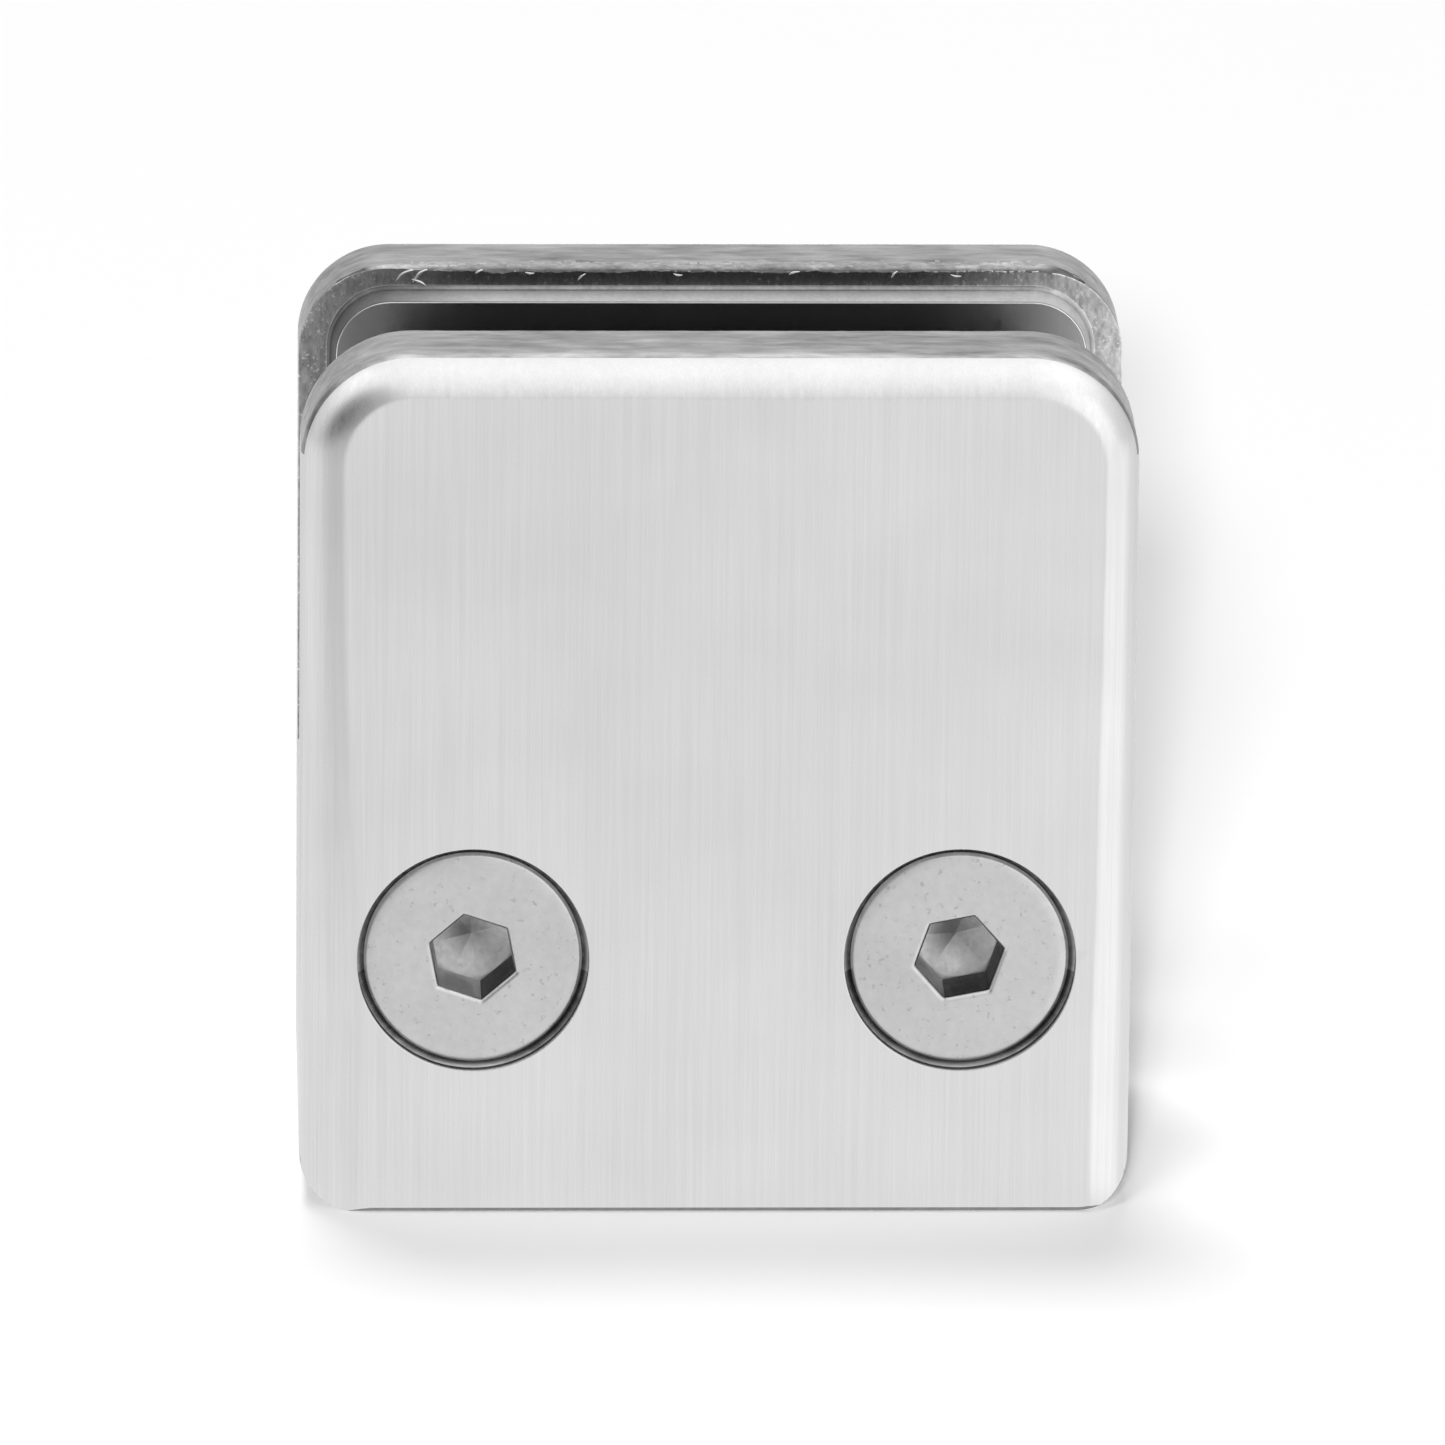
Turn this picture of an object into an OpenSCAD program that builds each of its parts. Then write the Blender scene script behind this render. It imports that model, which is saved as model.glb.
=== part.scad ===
// Square clamp that holds the edge of a glass pane on a post. Two jaws grip the pane between
// rubber pads, and two countersunk socket screws draw the front jaw onto the rear body.
// Millimetres. The flat foot, which is bolted to the post, lies at z = 0. The glass slot
// opens at the top and at both sides, and the screw heads face -Y.

/* [Clamp] */
// Width of both jaws
clamp_w = 45; // [44:0.5:60]
// Height from the foot to the top of the jaws
clamp_h = 47.8; // [44:0.1:60]
// Thickness of each jaw
jaw_t = 6.5; // [5.5:0.1:8]
// Height of the heel block that closes the slot at the foot
heel_h = 21; // [19:0.5:24]

/* [Rounding] */
// Radius of the rear jaw's upper corners, seen from the front
rear_corner_r = 5; // [4:0.1:7]
// Radius of the front jaw's upper corners
front_corner_r = 6; // [4:0.1:7]
// Radius of the lower corners, seen from the front
foot_corner_r = 2.8; // [1:0.1:4]
// Rounding from a jaw's outer face into its sides and top
face_edge_r = 2.2; // [1:0.1:3]
// Small chamfer where the foot meets the outer faces
foot_chamfer = 0.25; // [0.1:0.05:0.5]

/* [Glass seat] */
// Thickness of the glass pane
glass_t = 8; // [6:0.5:12]
// How far each raised seat stands out of its jaw
seat_h = 1.7; // [1:0.1:2]
// Width of the sunk border above each seat
top_border = 1.55; // [1:0.05:3]
// Width of the sunk border beside each seat
side_border = 2; // [1:0.05:3]
// Corner radius of the seats
seat_corner_r = 3; // [2:0.1:4]
// Rounding along the seats' front edges
seat_edge_r = 0.1; // [0.1:0.05:0.4]

/* [Rubber pads] */
// Thickness of each pad
pad_t = 1.8; // [1.5:0.1:3]
// Depth of the pocket in each seat that holds its pad
pocket_depth = 1; // [0.5:0.1:1.2]
// Width of the seat's rim round the pocket
pocket_rim = 3; // [1.5:0.1:5]
// Corner radius of the pockets
pocket_r = 2; // [1:0.1:3]
// Rounding along the pads' front edges
pad_edge_r = 0.3; // [0.1:0.05:0.4]

/* [Screws] */
// Distance from the clamp's side to a screw's axis
screw_inset = 9.35; // [9.3:0.05:11]
// Height of the screw axes above the foot
screw_z = 14.3; // [11:0.1:15]
// Length of a screw, with its head
screw_len = 16; // [12:1:18]
// Room round each screw head in the hole that it sinks into
head_play = 0.35; // [0.15:0.05:0.4]
// Depth of the screw heads below the front face
head_sink = 0.45; // [0.1:0.05:0.8]
// Turn of the left screw's socket, in degrees
left_socket_turn = 11; // [0:1:60]
// Turn of the right screw's socket, in degrees
right_socket_turn = 41; // [0:1:60]

/* [Post bolt] */
// Diameter of the bolt hole through the heel
bolt_hole_d = 8.5; // [6.5:0.5:9]
// Chamfer at both mouths of the bolt hole
bolt_chamfer = 0.5; // [0.2:0.1:0.8]

/* [Hidden] */
$fn = 64;

// metric thread M6, with the head of its 90 degree countersunk socket screw
thread_d = 6;
head_d = 11.8;
head_chamfer = 0.2;
head_rim = 0.25;
tip_chamfer = 0.7;
socket_af = 4.05;
socket_depth = 3.3;
socket_lead = 0.2;
socket_point = 1.2;

// fits
thread_play = 0.05;
shank_play = 0.3;
cone_play = 0.02;
pocket_play = 0.05;
slot_play = 0.2;

// how far the threaded holes go on past the screws' tips
thread_reserve = 2;

// places that follow from the sizes above
gap = glass_t + 2 * (seat_h + pad_t - pocket_depth);
screw_x = clamp_w / 2 - screw_inset;
front_y = -gap / 2 - jaw_t;
screw_y = front_y + head_sink;
seat_w = clamp_w - 2 * side_border;
seat_top = clamp_h - top_border;
pocket_w = seat_w - 2 * pocket_rim;
pocket_low = heel_h + pocket_rim / 2;
pocket_top = seat_top - pocket_rim;
sink_d = head_d + 2 * head_play;
thread_depth = screw_len - jaw_t + head_sink + thread_reserve;
thread_mouth = 0.4;
cut = 0.01;
past = 1;

// Section of a plate from its middle out to one edge, with that edge rounded on top
module edge_section(reach, t, edge_r) {
    square([reach, t - edge_r]);
    square([reach - edge_r, t]);
    translate([reach - edge_r, t - edge_r]) circle(edge_r);
}

// Middle stretch of a lying plate, centred on x, from y = low to y = high. The edges of its
// top face are round along both sides.
module plate_middle(w, low, high, t, edge_r) {
    translate([0, high, 0]) rotate([90, 0, 0]) linear_extrude(high - low) {
        edge_section(w / 2, t, edge_r);
        mirror([1, 0]) edge_section(w / 2, t, edge_r);
    }
}

// End of such a plate with two round corners, from y = 0 to y = corner_r
module plate_end(w, t, corner_r, edge_r) {
    inner = w / 2 - corner_r;
    translate([-inner, 0, 0]) rotate([90, 0, 90]) linear_extrude(2 * inner)
        edge_section(corner_r, t, edge_r);
    for (side = [0, 1])
        mirror([side, 0, 0]) translate([inner, 0, 0]) rotate_extrude(angle = 90)
            edge_section(corner_r, t, edge_r);
}

// Lying plate that is round at its far end and straight at y = low
module slab(w, low, high, t, corner_r, edge_r) {
    shoulder = high - corner_r;
    plate_middle(w, low, shoulder, t, edge_r);
    translate([0, shoulder, 0]) plate_end(w, t, corner_r, edge_r);
}

// Lying plate that is round at both ends
module cushion(w, low, high, t, corner_r, edge_r) {
    slab(w, low + corner_r, high, t, corner_r, edge_r);
    translate([0, low + corner_r, 0]) mirror([0, 1, 0]) plate_end(w, t, corner_r, edge_r);
}

// What is cut away to round both lower corners of a lying plate up to height t
module foot_corner_cuts(t) {
    for (side = [0, 1])
        mirror([side, 0, 0]) translate([clamp_w / 2 - foot_corner_r, foot_corner_r, -past])
            linear_extrude(t + 2 * past) difference() {
                translate([0, -foot_corner_r - past]) square(foot_corner_r + past);
                circle(foot_corner_r);
            }
}

// Stands a lying plate up: its length points up and its outer face to the front
module stand_front() {
    translate([0, -gap / 2, 0]) rotate([90, 0, 0]) children();
}

// The same, facing the back
module stand_rear() {
    mirror([0, 1, 0]) stand_front() children();
}

// Lying jaw with its outer face up at z = jaw_t and its raised glass seat below z = 0. The seat
// starts at y = seat_foot.
module jaw(seat_foot, corner_r) {
    difference() {
        union() {
            slab(clamp_w, 0, clamp_h, jaw_t, corner_r, face_edge_r);
            mirror([0, 0, 1]) slab(seat_w, seat_foot, seat_top, seat_h, seat_corner_r, seat_edge_r);
        }
        foot_corner_cuts(jaw_t);
        translate([0, 0, jaw_t]) rotate([45, 0, 0])
            cube([clamp_w + 2 * past, sqrt(2) * foot_chamfer, sqrt(2) * foot_chamfer], center = true);
        pocket();
    }
}

// Pocket in a lying jaw's seat
module pocket() {
    inner = pocket_w / 2 - pocket_r;
    translate([0, 0, -seat_h - cut]) linear_extrude(pocket_depth + cut) {
        translate([-pocket_w / 2, pocket_low + pocket_r])
            square([pocket_w, pocket_top - pocket_low - 2 * pocket_r]);
        translate([-inner, pocket_low]) square([2 * inner, pocket_top - pocket_low]);
        for (x = [-inner, inner], y = [pocket_low + pocket_r, pocket_top - pocket_r])
            translate([x, y]) circle(pocket_r);
    }
}

// Rubber pad in a lying jaw's pocket, with its glass side down
module pad() {
    translate([0, 0, pocket_depth - seat_h]) mirror([0, 0, 1])
        cushion(pocket_w - 2 * pocket_play, pocket_low + pocket_play, pocket_top - pocket_play,
                pad_t, pocket_r - pocket_play, pad_edge_r);
}

// Both screw axes from the depth y on, with z pointing out of the front
module at_screws(y) {
    for (side = [-1, 1])
        translate([side * screw_x, y, screw_z]) rotate([90, 0, 0]) children();
}

// Hole for one screw through the front jaw, measured from the top of the screw's head:
// straight recess, countersink and clearance hole
module countersink() {
    shank_r = thread_d / 2 + shank_play;
    cone_foot = head_d / 2 + head_chamfer + head_rim;
    cone_top = cone_foot - sink_d / 2 + cone_play;
    cone_h = sink_d / 2 - shank_r;
    translate([0, 0, -cone_top]) cylinder(d = sink_d, h = cone_top + head_sink + past);
    translate([0, 0, -cone_top - cone_h]) cylinder(r1 = shank_r, r2 = sink_d / 2, h = cone_h);
    translate([0, 0, -jaw_t - seat_h - past]) cylinder(r = shank_r, h = jaw_t + seat_h);
}

// Blind threaded hole in the heel, from the heel's front face inwards
module thread_hole() {
    r = thread_d / 2 + thread_play;
    translate([0, 0, -thread_depth]) cylinder(r = r, h = thread_depth + past);
    translate([0, 0, -thread_depth - r * 0.6]) cylinder(r1 = 0, r2 = r, h = r * 0.6);
    translate([0, 0, -thread_mouth]) cylinder(r1 = r, r2 = r + thread_mouth + cut, h = thread_mouth + cut);
}

// Hole for the bolt that holds the clamp on its post
module bolt_hole() {
    r = bolt_hole_d / 2;
    translate([0, 0, -past]) cylinder(r = r, h = heel_h + 2 * past);
    translate([0, 0, -cut]) cylinder(r1 = r + bolt_chamfer + cut, r2 = r, h = bolt_chamfer + cut);
    translate([0, 0, heel_h - bolt_chamfer])
        cylinder(r1 = r, r2 = r + bolt_chamfer + cut, h = bolt_chamfer + cut);
}

// Hexagonal socket with a bevelled mouth and the drill's point at its end, its mouth at z = 0
module socket() {
    half = socket_af / 2;
    lead = half + socket_lead + cut;
    intersection_for (turn = [0, 60, 120])
        rotate([0, 0, turn]) rotate([90, 0, 0]) linear_extrude(3 * socket_af, center = true)
            polygon([[-half, -socket_depth], [half, -socket_depth], [half, -socket_lead],
                     [lead, cut], [-lead, cut], [-half, -socket_lead]]);
    translate([0, 0, -socket_depth - socket_point])
        cylinder(r1 = 0, r2 = half - cut, h = socket_point + cut);
}

// One countersunk screw along z, with the top of its head at z = 0
module screw(socket_turn) {
    r = thread_d / 2;
    head_r = head_d / 2;
    rim_foot = -head_chamfer - head_rim;
    difference() {
        rotate_extrude() polygon([
            [0, 0], [head_r - head_chamfer, 0], [head_r, -head_chamfer], [head_r, rim_foot],
            [r, rim_foot - head_r + r], [r, tip_chamfer - screw_len],
            [r - tip_chamfer, -screw_len], [0, -screw_len]
        ]);
        rotate([0, 0, socket_turn]) socket();
    }
}

// One screw in its place, on the left for side = -1 and on the right for side = 1
module placed_screw(side, socket_turn) {
    translate([side * screw_x, screw_y, screw_z]) rotate([90, 0, 0]) screw(socket_turn);
}

// Rear jaw and heel in one casting
module rear_body() {
    color("silver") difference() {
        union() {
            stand_rear() jaw(heel_h - past, rear_corner_r);
            difference() {
                translate([-clamp_w / 2, -gap / 2, 0]) cube([clamp_w, gap + past, heel_h]);
                translate([0, gap / 2 + past, 0]) rotate([90, 0, 0]) foot_corner_cuts(gap + past);
            }
        }
        at_screws(-gap / 2) thread_hole();
        bolt_hole();
    }
}

// Loose front jaw, which the screws pull onto the heel
module front_jaw() {
    color("gainsboro") difference() {
        stand_front() jaw(heel_h + slot_play, front_corner_r);
        at_screws(screw_y) countersink();
    }
}

// Rubber pad in the rear seat
module rear_gasket() {
    color("dimgray") stand_rear() pad();
}

// Rubber pad in the front seat
module front_gasket() {
    color("dimgray") stand_front() pad();
}

// Screw on the left, seen from the front
module screw_left() {
    color("lightgray") placed_screw(-1, left_socket_turn);
}

// Screw on the right, seen from the front
module screw_right() {
    color("lightgray") placed_screw(1, right_socket_turn);
}

rear_body();
front_jaw();
rear_gasket();
front_gasket();
screw_left();
screw_right();
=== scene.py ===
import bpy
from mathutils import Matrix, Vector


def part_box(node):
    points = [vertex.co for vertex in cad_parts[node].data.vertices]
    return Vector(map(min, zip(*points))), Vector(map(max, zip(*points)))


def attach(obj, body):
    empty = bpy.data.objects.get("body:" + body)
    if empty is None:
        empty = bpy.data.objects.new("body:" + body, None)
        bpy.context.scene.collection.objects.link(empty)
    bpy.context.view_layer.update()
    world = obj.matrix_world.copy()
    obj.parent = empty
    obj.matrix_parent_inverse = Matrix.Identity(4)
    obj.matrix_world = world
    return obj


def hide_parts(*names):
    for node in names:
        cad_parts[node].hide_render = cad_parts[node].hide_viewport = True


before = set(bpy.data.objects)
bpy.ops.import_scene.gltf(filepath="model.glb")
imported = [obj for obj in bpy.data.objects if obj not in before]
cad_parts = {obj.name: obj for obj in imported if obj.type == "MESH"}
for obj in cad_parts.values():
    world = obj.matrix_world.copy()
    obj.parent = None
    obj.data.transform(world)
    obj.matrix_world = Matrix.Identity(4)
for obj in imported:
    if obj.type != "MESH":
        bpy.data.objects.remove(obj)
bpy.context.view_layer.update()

import math
import bpy
import bmesh
from mathutils import Matrix, Vector, noise

mm = 0.001
print("clamp: frame loaded")

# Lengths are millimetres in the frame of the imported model: foot on the floor, slot open upwards,
# screw heads to -Y.
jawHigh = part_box("front_jaw")[1] / mm
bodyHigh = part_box("rear_body")[1] / mm
clamp = {
    "halfWidth": jawHigh.x,
    "height": jawHigh.z,
    "halfDepth": bodyHigh.y,
    "jawThickness": 6.5,
    "heelHeight": 21.0,
    "rearCornerRadius": 5.0,
    "frontCornerRadius": 6.0,
    "footCornerRadius": 2.8,
    "footBreak": 0.25,
    "edgeDepth": 2.2,  # how far the rounding of the outer edges reaches down the sides
    "edgeSteps": 12,
    "beltDepth": 1.55,  # the belt has left its marks from here to the slot
    "edgeCrease": 18.0,  # angle at which the rounding meets the flat face, in degrees
    "topInset": 2.2,  # how far the same rounding reaches into the face, along each edge
    "leftInset": (2.5, 3.9),  # below the top corner and at the foot
    "rightInset": (1.9, 2.3),
    "screwX": 13.15,
    "screwZ": 14.3,
    "insetFoot": 1.0,  # height at which the side insets reach their width at the foot
    "insetBlend": 1.5,  # how late the side's inset takes over from the top's round a corner
    "insetWave": (0.06, 5.0),  # height and size of the uneven patches in the rounding
    "insetGrain": (0.03, 0.35),
    "sideStep": 1.0,  # spacing of the outline's points
    "topStep": 0.125,
    "cornerSteps": 20,
    "footSpare": 1.0,  # what is built below the foot and then cut off
}
clamp["gapHalf"] = clamp["halfDepth"] - clamp["jawThickness"]


def patch(x, y, z, size, seed):  # smooth random value of about -1 to 1, with blotches of the given size
    return noise.noise(Vector((x / size + seed, y / size - seed, z / size + 2.7 * seed)))


def ease(value, low, high):
    share = min(max((value - low) / (high - low), 0.0), 1.0)
    return share * share * (3 - 2 * share)


def addSkin(shape, rings):  # closed skin over rings of points with equal counts, in millimetres
    levels = [[shape.verts.new(point * mm) for point in ring] for ring in rings]
    count = len(levels[0])
    for near, far in zip(levels, levels[1:]):
        for i in range(count):
            shape.faces.new((near[i], near[(i + 1) % count], far[(i + 1) % count], far[i]))
    shape.faces.new(levels[0][::-1])
    shape.faces.new(levels[-1])


def pieceOf(name, shape):
    bmesh.ops.recalc_face_normals(shape, faces=shape.faces)
    mesh = bpy.data.meshes.new(name)
    shape.to_mesh(mesh)
    shape.free()
    piece = bpy.data.objects.new(name, mesh)
    bpy.context.scene.collection.objects.link(piece)
    return piece


def meshFrom(name, rings, samePoint=0.002, noEdge=0.001):  # points and edges smaller than these are merged
    shape = bmesh.new()
    addSkin(shape, rings)
    bmesh.ops.remove_doubles(shape, verts=shape.verts, dist=samePoint * mm)
    bmesh.ops.dissolve_degenerate(shape, edges=shape.edges, dist=noEdge * mm)
    return pieceOf(name, shape)


def applyModifier(piece, kind, **settings):
    modifier = piece.modifiers.new(kind.lower(), kind)
    for key, value in settings.items():
        setattr(modifier, key, value)
    bpy.context.view_layer.objects.active = piece
    with bpy.context.temp_override(object=piece, active_object=piece, selected_objects=[piece]):
        bpy.ops.object.modifier_apply(modifier=modifier.name)


def joinShapes(piece, tools, operation):  # tools are used up
    for tool in tools:
        applyModifier(piece, "BOOLEAN", operation=operation, object=tool, solver="EXACT")
        bpy.data.objects.remove(tool)


def smoothed(piece, sharpAngle=32, faceWeight=80):
    mesh = piece.data
    mesh.shade_smooth()
    mesh.set_sharp_from_angle(angle=math.radians(sharpAngle))
    applyModifier(piece, "WEIGHTED_NORMAL", keep_sharp=True, weight=faceWeight)


def arc(cx, cz, radius, start, end, steps):  # points and outward normals, angles in degrees
    for i in range(steps + 1):
        angle = math.radians(start + (end - start) * i / steps)
        nx, nz = math.cos(angle), math.sin(angle)
        yield cx + radius * nx, cz + radius * nz, nx, nz


def jawOutline(low, high, half, radius):  # open path from the left foot over the top to the right foot
    shoulder = high - radius
    sideSteps = round((shoulder - low) / clamp["sideStep"])
    topSteps = round(2 * (half - radius) / clamp["topStep"])
    flat = half - radius
    path = [(-half, low + (shoulder - low) * i / sideSteps, -1.0, 0.0) for i in range(sideSteps)]
    path += list(arc(-half + radius, shoulder, radius, 180, 90, clamp["cornerSteps"]))
    path += [(-half + radius + 2 * flat * i / topSteps, high, 0.0, 1.0) for i in range(1, topSteps)]
    path += list(arc(half - radius, shoulder, radius, 90, 0, clamp["cornerSteps"]))
    path += [(half, shoulder + (low - shoulder) * i / sideSteps, 1.0, 0.0) for i in range(1, sideSteps + 1)]
    return path


def faceInset(x, z, nx):  # the hand-ground rounding is wider down the left side
    down = ease(-z, clamp["frontCornerRadius"] - clamp["height"], -clamp["insetFoot"])
    near, far = clamp["leftInset"] if nx < 0 else clamp["rightInset"]
    side = near + (far - near) * down
    share = min(abs(nx), 1.0) ** clamp["insetBlend"]
    waveSeed, grainSeed = 3.1 if nx < 0 else 8.4, 12.0
    waveHeight, waveSize = clamp["insetWave"]
    grainHeight, grainSize = clamp["insetGrain"]
    uneven = waveHeight * patch(x, 0, z, waveSize, waveSeed)
    uneven += grainHeight * patch(x, 0, z, grainSize, grainSeed)
    return clamp["topInset"] * (1 - share) + side * share + uneven


# Rounding that the belt leaves along the slot's edges
slotEdge = {
    "plain": 0.05,
    "depth": 1.6,  # across the top, where the edge is fully worn
    "drop": 0.32,  # down the slot's side
    "front": 0.12,  # share of that wear on the front jaw
    "rear": 1.0,
    "leftWear": 0.35,  # share of the wear that is left beyond the left end of the span below
    "leftSpan": (-17.5, -15.0),
    "cornerFade": 6,  # the higher, the sooner the wear ends at the upper corners
    "wave": (0.35, 1.6),  # share and size of the uneven patches
    "grain": (0.25, 0.5),
    "ripple": (0.05, 0.28),  # height and size
    "steps": 7,
}


def slotEdgeRings(path, outward, inner, share, seed):
    rings = [[] for _ in range(slotEdge["steps"] + 1)]
    least = slotEdge["leftWear"]
    waveShare, waveSize = slotEdge["wave"]
    grainShare, grainSize = slotEdge["grain"]
    rippleHeight, rippleSize = slotEdge["ripple"]
    grainSeed, rippleSeed = seed + 4.0, seed + 9.0
    rippleTurns = 4
    for x, z, nx, nz in path:
        sideways = least + (1 - least) * ease(x, *slotEdge["leftSpan"])
        worn = share * max(nz, 0.0) ** slotEdge["cornerFade"] * sideways
        uneven = 1 + waveShare * patch(x, 0, 0, waveSize, seed)
        uneven += grainShare * patch(x, 0, 0, grainSize, grainSeed)
        wide = slotEdge["plain"] + slotEdge["depth"] * worn * uneven
        tall = slotEdge["plain"] + slotEdge["drop"] * worn * uneven
        for k, ring in enumerate(rings):
            turn = math.radians(90 * k / slotEdge["steps"])
            ripple = patch(x, rippleTurns * turn, 0, rippleSize, rippleSeed)
            bumpy = rippleHeight * worn * math.sin(2 * turn) * ripple
            deep = wide * (1 - math.sin(turn)) + bumpy
            low = tall * (1 - math.cos(turn)) + bumpy
            ring.append(Vector((x - nx * low, inner + outward * deep, z - nz * low)))
    return rings


def jawRings(outward, radius, wear, seed):  # outward is -1 for the front jaw and +1 for the rear jaw
    path = jawOutline(-clamp["footSpare"], clamp["height"], clamp["halfWidth"], radius)
    outer = outward * clamp["halfDepth"]
    inner = outward * clamp["gapHalf"]
    rings = []
    full = math.radians(90 - clamp["edgeCrease"])
    for k in range(clamp["edgeSteps"] + 1):
        turn = full * (1 - k / clamp["edgeSteps"])
        y = outer - outward * clamp["edgeDepth"] * (1 - math.sin(turn) / math.sin(full))
        share = (1 - math.cos(turn)) / (1 - math.cos(full))
        ring = []
        for x, z, nx, nz in path:
            inset = faceInset(x * -outward, z, nx * -outward) * share
            ring.append(Vector((x - nx * inset, y, z - nz * inset)))
        rings.append(ring)
    return rings + slotEdgeRings(path, outward, inner, wear, seed)


# Tool that gives both jaws and the heel their foot with its round corners
prism = {
    "past": 1,  # how far it goes beyond the outer faces
    "clear": 2,  # and beyond the sides, above the corners
    "hair": 0.001,  # keeps its lower sides off those of the jaws
    "flare": (4, 8),  # heights above the corners between which it widens
    "top": 60,
    "cornerSteps": 10,
}


def footPrism():
    half, radius = clamp["halfWidth"], clamp["footCornerRadius"]
    depth, lip = clamp["halfDepth"], clamp["footBreak"]
    past, top = prism["past"], prism["top"]
    close, wide = half + prism["hair"], half + prism["clear"]
    straight, flared = (radius + rise for rise in prism["flare"])
    corners = list(arc(-half + radius, radius, radius, 180, 270, prism["cornerSteps"]))
    corners += arc(half - radius, radius, radius, 270, 360, prism["cornerSteps"])
    rings = []
    for y, inset in ((-depth - past, lip + past), (-depth, lip), (-depth + lip, 0.0),
                     (depth - lip, 0.0), (depth, lip), (depth + past, lip + past)):
        ring = [Vector((-wide, y, top)), Vector((-wide, y, flared)), Vector((-close, y, straight))]
        ring += [Vector((x - nx * inset, y, z - nz * inset)) for x, z, nx, nz in corners]
        ring += [Vector((close, y, straight)), Vector((wide, y, flared)), Vector((wide, y, top))]
        rings.append(ring)
    return meshFrom("footPrism", rings)


# Plate in the XZ plane with round corners; the radii are for its lower and its upper ones
def roundedPlate(name, box, radii, depths, insets, cornerSteps=10):
    left, low, right, high = box
    lower, upper = radii
    rings = []
    for y, inset in zip(depths, insets):
        ring = []
        for cornerX, cornerZ, start, radius in ((left, low, 180, lower), (right, low, 270, lower),
                                                (right, high, 0, upper), (left, high, 90, upper)):
            cx = cornerX + radius * (1 if start in (180, 90) else -1)
            cz = cornerZ + radius * (1 if start in (180, 270) else -1)
            for x, z, nx, nz in arc(cx, cz, radius, start, start + 90, cornerSteps):
                ring.append(Vector((x - nx * inset, y, z - nz * inset)))
        rings.append(ring)
    return meshFrom(name, rings)


def turned(name, profile, centre, steps=96):  # profile of (radius, y) pairs round an axis along Y
    turns = [2 * math.pi * i / steps for i in range(steps)]
    cx, cz = centre
    rings = [[Vector((cx + radius * math.cos(turn), y, cz + radius * math.sin(turn))) for turn in turns]
             for radius, y in profile]
    return meshFrom(name, rings)


# Raised glass seat and the pocket for its rubber pad, the same on both jaws
seat = {
    "sideBorder": 2.0,
    "topBorder": 1.55,
    "height": 1.7,
    "cornerRadius": 3.0,
    "lowCornerRadius": 0.5,
    "edgeRadius": 0.1,
    "edgeAngles": (0, 30, 60, 90),
    "rootRadius": 0.35,  # hollow rounding where the seat rises from the jaw
    "draft": 10,  # lean of the seat's sides, in degrees
    "rootSteps": 8,
    "rooted": 0.6,  # how far the seat's plate goes into the jaw
    "weld": 0.01,  # how far its rounding starts below the jaw's inner face
    "rim": 3.0,
    "pocketDepth": 1.0,
    "pocketRadius": 2.0,
    "mouthBreak": 0.12,
    "toolPast": 1,
    "heelPlay": 0.2,  # between the front seat and the heel
    "heelOverlap": 1,  # of the rear seat with the heel
}


def pocketBox():
    half = clamp["halfWidth"] - seat["sideBorder"] - seat["rim"]
    low = clamp["heelHeight"] + seat["rim"] / 2
    high = clamp["height"] - seat["topBorder"] - seat["rim"]
    return (-half, low, half, high)


def addSeat(piece, outward, low):
    half = clamp["halfWidth"] - seat["sideBorder"]
    high = clamp["height"] - seat["topBorder"]
    hollow, lean = seat["rootRadius"], math.radians(90 - seat["draft"])
    buried = clamp["gapHalf"] + seat["weld"]
    face = outward * (clamp["gapHalf"] - seat["height"])
    sideRise = seat["height"] - seat["edgeRadius"] - hollow * (1 - math.cos(lean))
    foot = sideRise / math.tan(lean) + hollow * math.sin(lean)
    depths, insets = [outward * (buried + seat["rooted"])], [-foot]
    for k in range(seat["rootSteps"] + 1):
        turn = lean * k / seat["rootSteps"]
        depths.append(outward * (buried - hollow * (1 - math.cos(turn))))
        insets.append(hollow * math.sin(turn) - foot)
    for angle in seat["edgeAngles"]:
        turn = math.radians(angle)
        depths.append(face + outward * seat["edgeRadius"] * (1 - math.sin(turn)))
        insets.append(seat["edgeRadius"] * (1 - math.cos(turn)))
    radii = (seat["lowCornerRadius"], seat["cornerRadius"])
    plate = roundedPlate("seatPlate", (-half, low, half, high), radii, depths, insets)
    for vertex in plate.data.vertices:
        vertex.co.z = max(vertex.co.z, low * mm)
    joinShapes(piece, [plate], "UNION")
    mouth, past = seat["mouthBreak"], seat["toolPast"]
    floor = face + outward * seat["pocketDepth"]
    depths = (face - outward * past, face, face + outward * mouth, floor)
    insets = (-mouth - past, -mouth, 0, 0)
    pocket = roundedPlate("pocketTool", pocketBox(), (seat["pocketRadius"],) * 2, depths, insets)
    joinShapes(piece, [pocket], "DIFFERENCE")


# Countersinks in the front jaw and threaded holes in the heel
holes = {
    "recessRadius": 6.25,
    "recessDepth": 0.57,
    "mouthRound": 0.1,
    "mouthMiddle": 0.3,  # share of that rounding at which it is half turned
    "shankRadius": 3.3,
    "shankBreak": 0.25,  # where the screw leaves the front jaw
    "threadRadius": 3.05,
    "threadDepth": 11.95,
    "threadMouth": 0.4,
    "threadPast": 0.2,
    "tipRadius": 0.05,
    "tipSlope": 0.6,  # height of the drill's point over its radius
    "boltRadius": 4.25,
    "boltBreak": 0.5,
    "past": 1,  # how far the tools go beyond the faces that they cut
    "shankPast": 0.1,
    "threadSteps": 64,
}


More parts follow.
